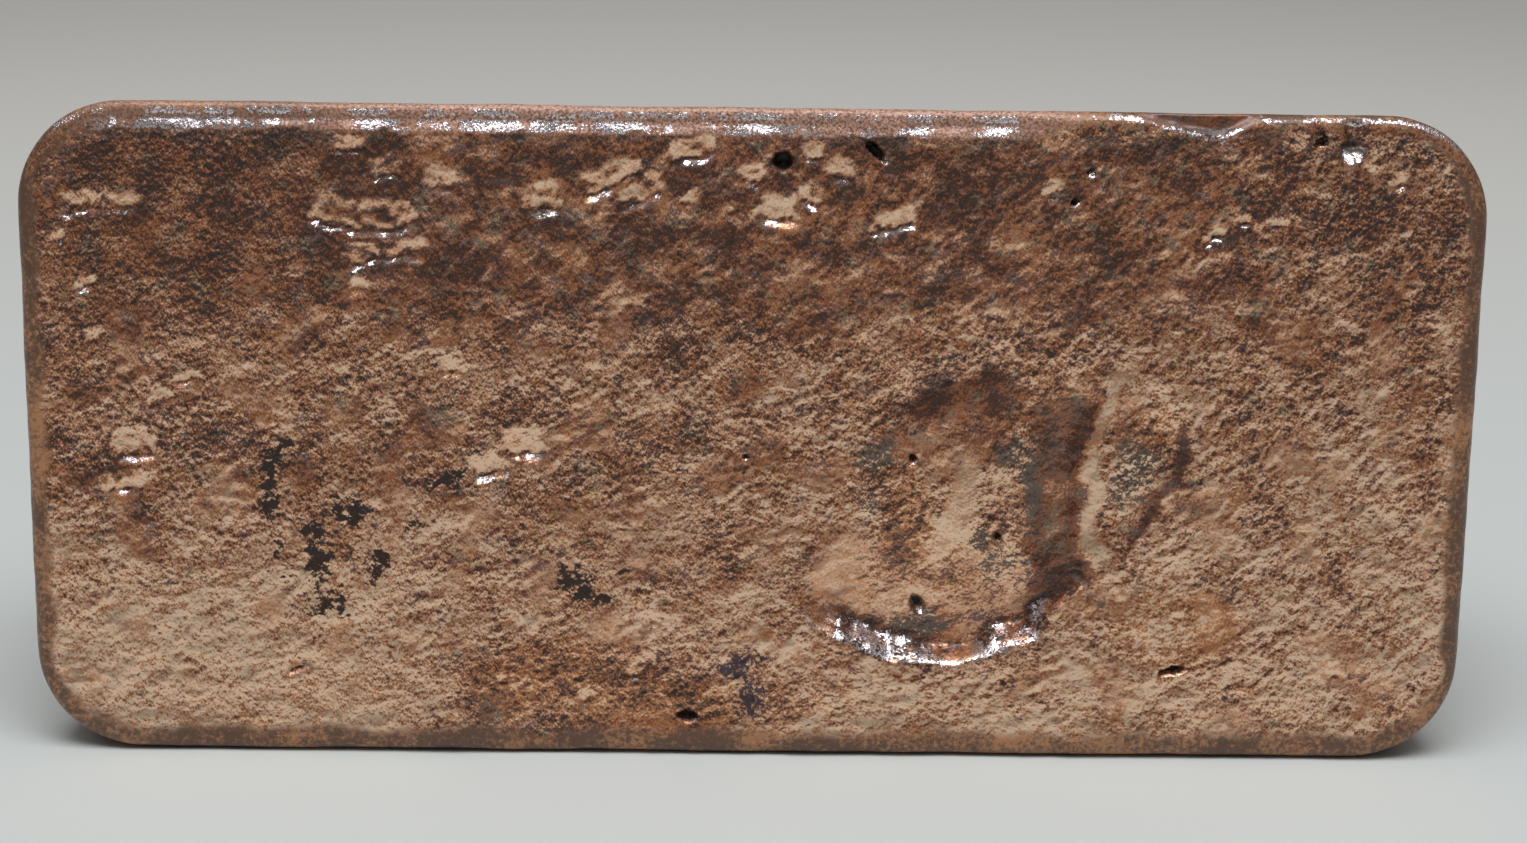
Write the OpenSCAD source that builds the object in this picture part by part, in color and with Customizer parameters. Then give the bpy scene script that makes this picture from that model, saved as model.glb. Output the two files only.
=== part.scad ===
// Hand-poured copper ingot, standing on one long wall with its pour face forward.
// It is drawn as it lay in the open mould: pour face up at z = 0, x along its length and
// y across its width. It is then stood up on its lower long wall, centred over the origin.

/* [Casting] */
// Length of the pour face
pour_length = 150; // [125:1:220]
// Width of the pour face
pour_width = 68; // [58:1:100]
// Thickness from the pour face to the mould floor
thickness = 25; // [18:1:32]
// Draft of the walls, in degrees
draft = 8.5; // [4:0.5:10]
// Radius of the four upright corners at the pour face
corner_r = 11; // [9:0.5:16]
// Rounding of the rim between the pour face and the walls
rim_r = 1.7; // [1:0.1:2.5]
// Rounding between the walls and the mould floor
floor_r = 3; // [2:0.5:4]

/* [Shrinkage hollow] */
// Middle of the hollow from the middle of the pour face, along and across
hollow_at = [22, -9]; // [-40:0.5:40]
// Bowl at the foot of the hollow: length and width
bowl_size = [28, 14]; // [6:0.5:40]
// Depth of the bowl
bowl_depth = 3.4; // [1:0.1:6]
// Bowl from the middle of the hollow, along and across
bowl_at = [-4.5, -8]; // [-20:0.5:20]
// Turn of the bowl, in degrees
bowl_turn = 8; // [-30:1:30]
// Broad side of the hollow: length and width
broad_size = [24, 16]; // [6:0.5:40]
// Depth of the broad side
broad_depth = 2.4; // [1:0.1:6]
// Broad side from the middle of the hollow, along and across
broad_at = [-3.5, 1]; // [-20:0.5:20]
// Turn of the broad side, in degrees
broad_turn = 76; // [50:1:120]
// Crown at the head of the hollow: length and width
crown_size = [14, 8.5]; // [4:0.5:30]
// Depth of the crown
crown_depth = 2.2; // [1:0.1:5]
// Crown from the middle of the hollow, along and across
crown_at = [0.5, 12.5]; // [-20:0.5:20]
// Turn of the crown, in degrees
crown_turn = 22; // [-30:1:60]
// Trough down the right of the hollow: length and width
trough_size = [25, 7.5]; // [4:0.5:40]
// Depth of the trough
trough_depth = 3; // [1:0.1:6]
// Trough from the middle of the hollow, along and across
trough_at = [10.5, 3]; // [-20:0.5:20]
// Turn of the trough, in degrees
trough_turn = 91; // [60:1:120]
// Dent beside the hollow: length and width
dent_size = [10.5, 6]; // [3:0.5:20]
// Depth of the dent
dent_depth = 1.2; // [0.4:0.1:3]
// Dent from the middle of the hollow, along and across
dent_at = [20, 5.5]; // [-20:0.5:30]
// Turn of the dent, in degrees
dent_turn = 62; // [0:1:120]

/* [Rim dips] */
// Scoop in the top rim: length and width
scoop_size = [8.4, 5.6]; // [2:0.1:16]
// Depth of the scoop
scoop_depth = 1.1; // [0.3:0.1:2]
// Scoop from the right end and from the top edge
scoop_at = [27.6, 0.4]; // [0:0.1:60]
// Small dip in the top rim: length and width
nick_size = [5, 3.2]; // [1:0.1:12]
// Depth of the small dip
nick_depth = 0.5; // [0.2:0.1:1.5]
// Small dip from the right end and from the top edge
nick_at = [54.1, 0.6]; // [0:0.1:90]
// Long dip in the foot rim: length and width
sag_size = [11, 3.2]; // [1:0.1:20]
// Depth of the long dip
sag_depth = 0.5; // [0.2:0.1:1.5]
// Long dip from the left end and from the foot edge
sag_at = [26.5, 0.8]; // [0:0.1:60]

/* [Blow holes] */
// Hole in the upper right corner: mouth and depth
corner_hole = [2.4, 2]; // [0.2:0.1:6]
// Hole in the upper right corner from the right end and from the top edge
corner_hole_at = [14.5, 3.6]; // [3:0.1:60]
// Pinhole beside the corner hole: mouth and depth
corner_pin = [0.8, 0.8]; // [0.2:0.1:6]
// Pinhole beside the corner hole from the right end and from the top edge
corner_pin_at = [17.6, 2.8]; // [2:0.1:60]
// Hole below the middle of the top edge: mouth and depth
top_hole = [2, 2]; // [0.2:0.1:6]
// Hole below the top edge from the middle and from the top edge
top_hole_at = [2.7, 5.3]; // [2.5:0.1:30]
// Slit below the top edge: length, width and depth
top_slit = [2.9, 1.1, 1.4]; // [0.2:0.1:6]
// Slit from the middle and from the top edge
top_slit_at = [12.2, 4.4]; // [2.5:0.1:40]
// Turn of the slit, in degrees
top_slit_turn = -48; // [-90:1:90]
// Pair of pinholes below the top edge: mouth and depth of each
pair_pin = [0.8, 0.9]; // [0.2:0.1:6]
// First pinhole of the pair from the right end and from the top edge
pair_pin_at = [40.9, 6.2]; // [2:0.1:60]
// Step from the first pinhole of the pair to the second, along and across
pair_pin_step = [-1.7, -3]; // [-10:0.1:10]
// Hole above the middle of the foot edge: length, width and depth
foot_hole = [2, 1.2, 1.4]; // [0.2:0.1:6]
// Hole above the foot edge from the middle and from the foot edge
foot_hole_at = [-6.6, 4.1]; // [-40:0.1:40]
// Turn of the hole above the foot edge, in degrees
foot_hole_turn = -6; // [-90:1:90]
// Slit in the lower right: length, width and depth
low_slit = [2.8, 1, 1.3]; // [0.2:0.1:6]
// Slit in the lower right from the right end and from the foot edge
low_slit_at = [30.4, 9.5]; // [2.5:0.1:60]
// Turn of the slit in the lower right, in degrees
low_slit_turn = 12; // [-90:1:90]
// Pit in the bowl of the hollow: length, width and depth below the bowl
bowl_pit = [2.6, 1.7, 1]; // [0.2:0.1:6]
// Pit in the bowl from the middle of the bowl, along and across
bowl_pit_at = [0.3, -1]; // [-6:0.1:6]
// Turn of the pit in the bowl, in degrees
bowl_pit_turn = -58; // [-90:1:90]
// Pinhole in the broad side of the hollow: mouth and depth below its floor
broad_pin = [0.9, 0.9]; // [0.2:0.1:6]
// Pinhole from the middle of the broad side, along and across
broad_pin_at = [-1.9, 6]; // [-7:0.1:7]

/* [Hidden] */
$fn = 96;

half_length = pour_length / 2;
half_width = pour_width / 2;
straight_length = pour_length - 2 * corner_r;
straight_width = pour_width - 2 * corner_r;

// Section of a wall, measured out from the axis of an upright corner:
// the rim's rounding is about rim_s, and the mould floor's rounding about floor_s
rim_s = corner_r - rim_r;
wall_out = rim_s * cos(draft) + rim_r * sin(draft) + rim_r;
floor_z = floor_r - thickness;
floor_s = (wall_out - floor_r + floor_z * sin(draft)) / cos(draft);
wall_normal = [cos(draft), -sin(draft)];

// Standing pose: lean of the pour face, level of the lower wall, and front and back limits
stand_turn = 90 - draft;
stand_level = (half_width - rim_r) * cos(draft) + rim_r * sin(draft) + rim_r;
stand_front = rim_r * cos(draft) - rim_r - (half_width - rim_r) * sin(draft);
stand_back = (straight_width / 2 + floor_s) * sin(draft) - floor_z * cos(draft) + floor_r;

copper = [0.52, 0.33, 0.26];

// Spacing of the bubbles in a row, as a share of their mouths
row_pitch = 0.9;

// How far the neck of a bubble in the hollow is cut past the pour face
neck_clear = 1;

// Places on the pour face, measured from its edges
function from_right_top(at) = [half_length - at[0], half_width - at[1]];
function from_middle_top(at) = [at[0], half_width - at[1]];
function from_left_foot(at) = [at[0] - half_length, at[1] - half_width];
function from_middle_foot(at) = [at[0], at[1] - half_width];
function from_right_foot(at) = [half_length - at[0], at[1] - half_width];

// Radius of the arc that is depth deep over a chord
function arc_r(chord, depth) = (chord * chord / 4 + depth * depth) / (2 * depth);

// Level of the floor of an oval hollow, at an offset from the hollow's middle
function oval_level(offset, size, depth, turn) =
    let (
        along = offset[0] * cos(turn) + offset[1] * sin(turn),
        across = offset[1] * cos(turn) - offset[0] * sin(turn),
        along_r = arc_r(size[0], depth),
        across_r = arc_r(size[1], depth),
        reach = along_r - across_r + sqrt(across_r * across_r - across * across)
    )
    along_r - depth - sqrt(reach * reach - along * along);

// Wheel with a round tread, rolled along the hollow's length. It leaves an oval hollow
// of the given length, width and depth in the pour face.
module oval(at, size, depth, turn = 0) {
    along_r = arc_r(size[0], depth);
    across_r = arc_r(size[1], depth);
    translate([at[0], at[1], along_r - depth])
        rotate([90, 0, turn])
            rotate_extrude()
                intersection() {
                    translate([along_r - across_r, 0])
                        circle(across_r);
                    translate([0, -across_r])
                        square([along_r, 2 * across_r]);
                }
}

// Gas bubble that broke through a surface at the given level, with its mouth and its depth.
// In the floor of a hollow, a neck as wide as its mouth keeps it open up past the pour face.
module bubble(at, size, level = 0) {
    bubble_r = arc_r(size[0], size[1]);
    centre_z = level + bubble_r - size[1];
    translate([at[0], at[1], centre_z]) {
        sphere(bubble_r);
        if (level < 0)
            cylinder(h = neck_clear - centre_z, d = size[0]);
    }
}

// Row of bubbles that ran together into a slit of the given length, width and depth
module bubble_row(at, size, turn, level = 0) {
    run = size[0] - size[1];
    steps = max(1, ceil(run / (row_pitch * size[1])));
    for (i = [0 : steps])
        bubble(at + run * (i / steps - 1 / 2) * [cos(turn), sin(turn)], [size[1], size[2]], level);
}

module wall_section() {
    rim_centre = [rim_s, -rim_r];
    floor_centre = [floor_s, floor_z];
    polygon([
        [0, 0],
        [0, -thickness],
        [floor_s, -thickness],
        floor_centre + floor_r * wall_normal,
        rim_centre + rim_r * wall_normal,
        [rim_s, 0],
    ]);
    translate(rim_centre)
        circle(rim_r);
    translate(floor_centre)
        circle(floor_r);
}

module quarter() {
    translate([straight_length / 2, straight_width / 2, 0])
        rotate_extrude(angle = 90)
            wall_section();
}

module long_wall() {
    translate([-straight_length / 2, straight_width / 2, 0])
        rotate([90, 0, 90])
            linear_extrude(straight_length)
                wall_section();
}

module short_wall() {
    translate([straight_length / 2, straight_width / 2, 0])
        rotate([90, 0, 0])
            linear_extrude(straight_width)
                wall_section();
}

module cast_block() {
    for (x = [0, 1])
        mirror([x, 0, 0])
            short_wall();
    for (y = [0, 1])
        mirror([0, y, 0])
            long_wall();
    for (x = [0, 1], y = [0, 1])
        mirror([x, 0, 0])
            mirror([0, y, 0])
                quarter();
    translate([-straight_length / 2, -straight_width / 2, -thickness])
        cube([straight_length, straight_width, thickness]);
}

module shrinkage_hollow() {
    oval(hollow_at + bowl_at, bowl_size, bowl_depth, bowl_turn);
    oval(hollow_at + broad_at, broad_size, broad_depth, broad_turn);
    oval(hollow_at + crown_at, crown_size, crown_depth, crown_turn);
    oval(hollow_at + trough_at, trough_size, trough_depth, trough_turn);
    oval(hollow_at + dent_at, dent_size, dent_depth, dent_turn);
    bubble_row(hollow_at + bowl_at + bowl_pit_at, bowl_pit, bowl_pit_turn,
        oval_level(bowl_pit_at, bowl_size, bowl_depth, bowl_turn));
    bubble(hollow_at + broad_at + broad_pin_at, broad_pin,
        oval_level(broad_pin_at, broad_size, broad_depth, broad_turn));
}

module rim_dips() {
    oval(from_right_top(scoop_at), scoop_size, scoop_depth);
    oval(from_right_top(nick_at), nick_size, nick_depth);
    oval(from_left_foot(sag_at), sag_size, sag_depth);
}

module blow_holes() {
    bubble(from_right_top(corner_hole_at), corner_hole);
    bubble(from_right_top(corner_pin_at), corner_pin);
    bubble(from_middle_top(top_hole_at), top_hole);
    bubble_row(from_middle_top(top_slit_at), top_slit, top_slit_turn);
    for (step = [0, 1])
        bubble(from_right_top(pair_pin_at) + step * pair_pin_step, pair_pin);
    bubble_row(from_middle_foot(foot_hole_at), foot_hole, foot_hole_turn);
    bubble_row(from_right_foot(low_slit_at), low_slit, low_slit_turn);
}

module ingot() {
    color(copper)
        translate([0, -(stand_front + stand_back) / 2, stand_level])
            rotate([stand_turn, 0, 0])
                difference() {
                    cast_block();
                    shrinkage_hollow();
                    rim_dips();
                    blow_holes();
                }
}

ingot();
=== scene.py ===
# A hand-poured copper ingot that stands on one long wall, with its rough pour face to the front.
import math

import bpy
import numpy as np
from mathutils import Matrix, Vector


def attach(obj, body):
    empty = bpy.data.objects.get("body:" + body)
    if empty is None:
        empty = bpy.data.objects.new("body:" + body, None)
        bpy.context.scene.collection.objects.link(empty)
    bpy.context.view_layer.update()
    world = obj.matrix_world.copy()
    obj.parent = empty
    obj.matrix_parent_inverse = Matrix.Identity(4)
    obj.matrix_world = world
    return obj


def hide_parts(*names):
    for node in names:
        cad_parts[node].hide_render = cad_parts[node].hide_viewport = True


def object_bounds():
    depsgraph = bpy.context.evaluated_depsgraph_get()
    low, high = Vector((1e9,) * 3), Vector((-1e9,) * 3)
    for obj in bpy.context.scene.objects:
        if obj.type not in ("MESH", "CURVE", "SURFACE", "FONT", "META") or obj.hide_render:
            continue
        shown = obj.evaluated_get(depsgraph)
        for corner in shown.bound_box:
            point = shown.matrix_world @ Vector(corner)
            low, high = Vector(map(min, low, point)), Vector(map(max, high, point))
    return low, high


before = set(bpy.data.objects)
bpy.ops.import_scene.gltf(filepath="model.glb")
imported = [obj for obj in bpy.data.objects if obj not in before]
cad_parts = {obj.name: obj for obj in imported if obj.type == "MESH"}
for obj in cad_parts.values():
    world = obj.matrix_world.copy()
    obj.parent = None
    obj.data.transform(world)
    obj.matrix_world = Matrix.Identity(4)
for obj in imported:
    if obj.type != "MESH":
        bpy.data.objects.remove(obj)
cad_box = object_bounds()

# The bar as the mould shapes it
# One bar of copper, poured by hand into an open iron mould and tipped out when it was cold.
# The mould gives it drafted walls, round corners and a flat floor. All its sizes are in millimetres.
MM = 0.001
pour_length = (cad_box[1][0] - cad_box[0][0]) / MM
pour_width = 68.0
thickness = 25.0
draft = math.radians(8.5)
corner_r = 11.0
rim_r = 1.7
floor_r = 3.0

straight_x = pour_length / 2 - corner_r
straight_y = pour_width / 2 - corner_r
rim_reach = corner_r - rim_r
rim_turn = math.pi / 2 + draft
wall_drop = thickness - rim_r - floor_r
floor_reach = rim_reach - wall_drop * math.tan(draft) - (floor_r - rim_r) / math.cos(draft)

# Cells of the mesh: fine on the pour face and the rim, a half as many on the walls and a quarter behind
face_columns = 408
face_rows = 184
rim_rows = 9
wall_rows = 8
floor_rows = 4
wall_step = 2
back_step = 4


def mould_grid(columns, rows):
    """Corner axis and outward direction for a grid of points that fills the round-cornered outline."""
    x, y = np.meshgrid(
        np.linspace(-1, 1, columns + 1) * (straight_x + rim_reach),
        np.linspace(-1, 1, rows + 1) * (straight_y + rim_reach),
    )
    axis_x = np.clip(x, -straight_x, straight_x)
    axis_y = np.clip(y, -straight_y, straight_y)
    a = (x - axis_x) / rim_reach
    b = (y - axis_y) / rim_reach
    return axis_x, axis_y, a * np.sqrt(1 - b * b / 2), b * np.sqrt(1 - a * a / 2)


def border(grid):
    """Values round the edge of a grid, counterclockwise from its first corner."""
    return np.concatenate([grid[0, :-1], grid[:-1, -1], grid[-1, :0:-1], grid[:0:-1, 0]])


def smooth(low, high, value):
    """Eased step from 0 at low to 1 at high."""
    t = np.clip((value - low) / (high - low), 0, 1)
    return t * t * (3 - 2 * t)


def between(value, start, full, fading, gone):
    """Eases in from start to full, and out again from fading to gone."""
    return smooth(start, full, value) * smooth(gone, fading, value)


noise_cells = 128
noise_start = (41.3, 57.7)
noise_gain = 1.5


def ripple(x, y, size, seed):
    """Seeded gradient noise from about -1 to 1, with cells of the given size."""
    angle = np.random.default_rng(seed).uniform(0, 2 * math.pi, (noise_cells, noise_cells))
    u = x / size + noise_start[0]
    v = y / size + noise_start[1]
    i = np.floor(u).astype(int)
    j = np.floor(v).astype(int)
    u = u - i
    v = v - j

    def corner(right, up):
        turn = angle[(i + right) % noise_cells, (j + up) % noise_cells]
        return np.cos(turn) * (u - right) + np.sin(turn) * (v - up)

    ease_u = u ** 3 * (u * (6 * u - 15) + 10)
    ease_v = v ** 3 * (v * (6 * v - 15) + 10)
    lower = corner(0, 0) + ease_u * (corner(1, 0) - corner(0, 0))
    upper = corner(0, 1) + ease_u * (corner(1, 1) - corner(0, 1))
    return noise_gain * (lower + ease_v * (upper - lower))


def waves(x, y, *layers):
    """Adds up layers of ripples, each given by its height, cell size and seed."""
    return sum(height * ripple(x, y, size, seed) for height, size, seed in layers)


# The pour face
# The top of the pour, which froze in the open air: a shrinkage hollow, blow holes, cold laps and a
# wrinkled skin, all as depths in millimetres below the level that the rim was poured to.
flow_turn_x = 8.0
flow_spread = 16.0
flow_slope_left = 0.30
flow_slope_gain = 0.62
flow_pace_left = 1.15
flow_pace_gain = -0.10


def flow(x, y):
    """Distance along and across the lines that the metal flowed in, steeper and longer to the right."""
    past_turn = (x - flow_turn_x) / flow_spread
    share = 1 / (1 + np.exp(-past_turn))
    summed = flow_spread * np.logaddexp(0, past_turn)
    slope = flow_slope_left + flow_slope_gain * share
    pace = flow_pace_left + flow_pace_gain * share
    lift = flow_slope_left * x + flow_slope_gain * summed
    run = flow_pace_left * x + flow_pace_gain * summed
    length = np.sqrt(1 + slope * slope)
    return (run + pace * slope * y) / length, (y - lift) / length


def turned(x, y, centre, degrees):
    """Coordinates about a centre, along and across a line turned by some degrees."""
    c = math.cos(math.radians(degrees))
    s = math.sin(math.radians(degrees))
    return (x - centre[0]) * c + (y - centre[1]) * s, (y - centre[1]) * c - (x - centre[0]) * s


def dish(x, y, centre, size, degrees, depth):
    """Depth of a shallow oval dish."""
    u, v = turned(x, y, centre, degrees)
    return depth * np.clip(1 - (2 * u / size[0]) ** 2 - (2 * v / size[1]) ** 2, 0, 1)


def edge_distance(x, y):
    """Distance inward from the edge of the flat part of the face."""
    out_x = np.abs(x) - straight_x
    out_y = np.abs(y) - straight_y
    round_part = np.hypot(np.maximum(out_x, 0), np.maximum(out_y, 0))
    return rim_reach - round_part - np.minimum(np.maximum(out_x, out_y), 0)


least_step = 0.05


def lean(x, y, depth):
    """Slope of the relief towards the lower long wall, positive where it faces down."""
    return -np.gradient(depth, axis=0) / np.maximum(np.gradient(y, axis=0), least_step)


# Dips in the rim: middle, size, turn and depth, and the long scoop in its top edge
rim_dips = [
    ((20.9, 33.4), (5.0, 3.2), 0, 0.5),
    ((-48.5, -33.2), (11.0, 3.2), 0, 0.5),
]
scoop_left = 34.9
scoop_right = 51.4
scoop_taper_left = 12.2
scoop_taper_right = 4.3
scoop_edge_y = 33.6
scoop_width = 2.9
scoop_depth = 1.1
scoop_slope = 1.6


def scoop(x, y):
    """Distance inside the scoop, and how wide open it is."""
    taper = np.minimum((x - scoop_left) / scoop_taper_left, (scoop_right - x) / scoop_taper_right)
    opening = np.clip(taper, 0, 1)
    lower_edge = scoop_edge_y - scoop_width * opening ** 0.9
    return y + 0.2 * ripple(x, y, 1.6, 61) - lower_edge, smooth(0.0, 0.12, opening)


def scoop_finish(x, y):
    """The lip of the scoop, where a glint is painted, and its calm floor."""
    inside, opening = scoop(x, y)
    return between(inside, 0.0, 0.2, 0.65, 0.95) * opening, smooth(0.0, 0.3, inside) * opening


def dip_depth(x, y):
    """Depth of the dips in the rim."""
    inside, opening = scoop(x, y)
    deep = scoop_depth * smooth(0.0, scoop_slope, inside) * opening
    for middle, size, degrees, depth in rim_dips:
        deep = np.maximum(deep, dish(x, y, middle, size, degrees, depth))
    return deep


# Blow holes: middle, length and width, turn, depth, share that slopes in from the lower edge
blow_holes = [
    ((2.7, 28.7), (2.1, 2.0), 0, 2.2, 0.32),
    ((12.2, 29.6), (2.9, 1.1), -48, 1.5, 0.32),
    ((34.1, 27.8), (1.1, 1.2), 0, 0.7, 0.5),
    ((32.4, 24.8), (0.8, 0.8), 0, 0.9, 0.32),
    ((57.4, 31.2), (1.0, 1.1), 0, 1.0, 0.25),
    ((60.5, 30.3), (2.8, 2.8), 20, 1.4, 0.6),
    ((16.6, -2.0), (1.1, 0.8), 80, 1.0, 0.32),
    ((25.8, -10.4), (0.9, 0.9), 0, 0.9, 0.32),
    ((17.7, -18.1), (2.6, 1.3), -58, 0.9, 0.32),
    ((-6.6, -29.9), (2.1, 1.2), -6, 1.4, 0.32),
    ((44.6, -24.5), (2.8, 1.0), 12, 1.3, 0.32),
    ((-0.7, -2.0), (0.6, 0.6), 0, 0.6, 0.32),
]
hole_seed = 60
hole_slope = 3.3
crowd_reach = 2.2
crowd_pull = 0.55


def crowd(x, y):
    """Draws the grid together round each blow hole, so that its edge is crisp."""
    for middle, size, *rest in blow_holes:
        r = np.hypot(x - middle[0], y - middle[1]) / (crowd_reach * max(size))
        pull = 1 - crowd_pull * np.clip(1 - r * r, 0, 1) ** 2
        x = middle[0] + (x - middle[0]) * pull
        y = middle[1] + (y - middle[1]) * pull
    return x, y


def hole_relief(x, y):
    """Depth of the blow holes, their insides painted black as shade, and their lower slopes painted as
    glints.
    """
    holes = np.zeros_like(x)
    hole_shade = np.zeros_like(x)
    bright = np.zeros_like(x)
    for k, (middle, size, degrees, depth, sloped) in enumerate(blow_holes):
        u, v = turned(x, y, middle, degrees)
        r = np.hypot(2 * u / size[0], 2 * v / size[1]) * (1 + 0.28 * ripple(x, y, 0.8, hole_seed + k))
        rise = (y - middle[1] - 0.1 * (x - middle[0])) / (size[0] + size[1]) + 0.25 - 0.5 * sloped
        ramp_down = np.clip(1 + hole_slope * rise, 0, 1)
        low = smooth(0.04, -0.04, rise)
        holes = np.maximum(holes, depth * ramp_down * (1 - smooth(0.80, 1.05, r)))
        # Painted shade: the upper inside of each hole is painted black
        hole_shade = np.maximum(hole_shade, (1 - smooth(0.6, 0.95, r)) * (1 - low))
        bright = np.maximum(bright, low * (1 - smooth(1.0, 1.15, r)))
    return holes, hole_shade, bright


# Cold laps: the two ends of the lower lip, the width of the slope above it, the depth at the lip
cold_laps = [
    ((-70.0, 22.3), (-66.6, 22.9), 1.6, 0.45),
    ((-66.4, 22.7), (-62.4, 23.0), 1.3, 0.40),
    ((-71.4, 19.4), (-69.8, 19.9), 1.0, 0.35),
    ((-45.0, 21.9), (-40.4, 21.0), 2.2, 0.55),
    ((-40.2, 20.8), (-34.8, 21.0), 2.4, 0.55),
    ((-42.0, 16.6), (-38.2, 18.4), 1.8, 0.40),
    ((-38.0, 18.2), (-33.6, 18.2), 2.0, 0.40),
    ((-41.2, 14.6), (-39.8, 15.0), 1.4, 0.50),
    ((-39.0, 26.4), (-36.4, 26.6), 1.8, 0.50),
    ((-42.8, 29.2), (-39.2, 28.8), 1.2, 0.35),
    ((-33.4, 25.0), (-30.4, 25.4), 1.7, 0.50),
    ((-22.8, 23.6), (-20.2, 23.2), 2.0, 0.75),
    ((-17.2, 24.6), (-11.8, 27.0), 1.7, 0.60),
    ((-14.0, 23.6), (-9.2, 25.0), 1.9, 0.60),
    ((-8.6, 28.2), (-4.2, 29.2), 1.5, 0.60),
    ((-7.6, 24.2), (-6.0, 23.8), 1.2, 0.40),
    ((-1.6, 26.6), (0.6, 26.0), 1.3, 0.50),
    ((0.4, 22.6), (4.2, 22.4), 1.9, 0.80),
    ((4.6, 28.8), (6.6, 28.6), 1.4, 0.45),
    ((7.0, 27.2), (9.6, 26.6), 1.6, 0.60),
    ((4.4, 24.4), (6.6, 24.0), 1.5, 0.50),
    ((29.2, 25.4), (31.2, 24.8), 1.3, 0.45),
    ((45.8, 20.6), (47.6, 21.6), 0.5, 0.55),
    ((49.0, 22.6), (50.4, 23.2), 0.5, 0.55),
    ((52.4, 22.8), (53.8, 22.4), 0.5, 0.55),
    ((62.0, 28.4), (63.4, 27.4), 0.6, 0.55),
    ((64.6, 26.6), (66.2, 27.4), 0.5, 0.55),
    ((-65.8, -2.8), (-61.6, -2.4), 2.2, 0.60),
    ((-62.8, 2.2), (-60.0, 3.4), 1.6, 0.40),
    ((-67.2, -6.8), (-65.6, -6.0), 1.4, 0.40),
    ((-68.2, 9.2), (-66.8, 9.4), 1.0, 0.35),
    ((-25.8, -2.2), (-21.8, -1.8), 2.0, 0.85),
    ((-28.8, -4.4), (-25.0, -3.8), 1.6, 0.75),
    ((-31.6, 6.2), (-29.6, 6.6), 1.4, 0.40),
    ((-11.0, -20.4), (-9.6, -19.6), 1.2, 0.40),
    ((-12.2, -26.0), (-9.8, -24.2), 1.2, 0.45),
    ((-17.6, -28.6), (-16.4, -28.0), 1.2, 0.40),
    ((61.0, -25.6), (62.8, -25.0), 1.4, 0.45),
    ((-69.2, 14.8), (-67.2, 15.2), 0.6, 0.55),
    ((-65.4, -6.2), (-62.8, -5.8), 0.7, 0.60),
    ((-48.4, -25.2), (-46.2, -24.6), 0.6, 0.60),
    ((-59.2, 5.2), (-57.4, 5.8), 0.6, 0.55),
    ((12.2, 21.4), (16.2, 22.4), 1.4, 0.55),
]
lap_seed = 100
lap_width_gain = 1.45
lap_depth_gain = 1.25
lap_end_out = -0.6
lap_end_in = 0.5


def lap(x, y, start, end, width, depth, seed):
    """Depth of a fold in the skin: a slope that faces down, and below it a lip that faces up."""
    length = math.dist(start, end)
    turn = math.degrees(math.atan2(end[1] - start[1], end[0] - start[0]))
    u, v = turned(x, y, start, turn)
    v = v + waves(x, y, (0.40, 1.5, seed), (0.18, 0.7, seed + 1))
    u = u + waves(x, y, (0.45, 1.2, seed + 2))
    window = smooth(lap_end_out, lap_end_in, u) * smooth(lap_end_out, lap_end_in, length - u)
    window = window * (0.85 + 0.35 * ripple(u, v, 1.4, seed + 1))
    slope = np.clip(1 - v / width, 0, 1)
    lip = smooth(-0.95 * depth, 0.10, v)
    return depth * window * lip * slope


def fold_relief(x, y):
    """Depth of the cold laps, and the painted shade in their creases."""
    folds = np.zeros_like(x)
    crease_shade = np.zeros_like(x)
    for k, (start, end, width, depth) in enumerate(cold_laps):
        fold = lap(x, y, start, end, lap_width_gain * width, lap_depth_gain * depth, lap_seed + 3 * k)
        folds = np.maximum(folds, fold)
        # Painted shade along the crease of each fold
        crease_shade = np.maximum(crease_shade, smooth(0.90, 1.10, fold / depth))
    return folds, crease_shade


# The shrinkage hollow: a bowl with a crown above it, a trough to its right and a dent beside that
bowl_lip_middle = (18.5, -24.2)
bowl_lip_curl_left = 0.0135
bowl_lip_curl_right = 0.0102
bowl_lip_power = 2.4
bowl_depth = 3.0
bowl_height = 21.0
lip_step_depth = 0.28
crown_middle = (21.6, 4.2)
crown_turn = 24
crown_depth = 1.1
trough_lip_x = 34.7
trough_lip_curl = 0.0168
trough_middle_y = -6.0
trough_depth = 1.7
tongue_y = -3.4
tongue_length = 0.7
tongue_half_width = 0.8
dent_edge_x = 45.2
dent_edge_curl = 0.033
dent_middle_y = 1.5
dent_depth = 0.8
groove_middle = (25.4, -9.2)
groove_r = 1.15
groove_depth = 0.20
ridge_middle = (21.7, -7.0)
ridge_turn = 75
blotch_middle = (16.2, -8.6)
blotch_half = (2.6, 5.4)

# Stretches of the bowl's lower lip with a wider slope and painted glints: middle, half length, squareness
bright_stretches = [
    (13.4, 5.2, 4),
    (25.4, 1.5, 2),
    (30.2, 1.6, 2),
]


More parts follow.
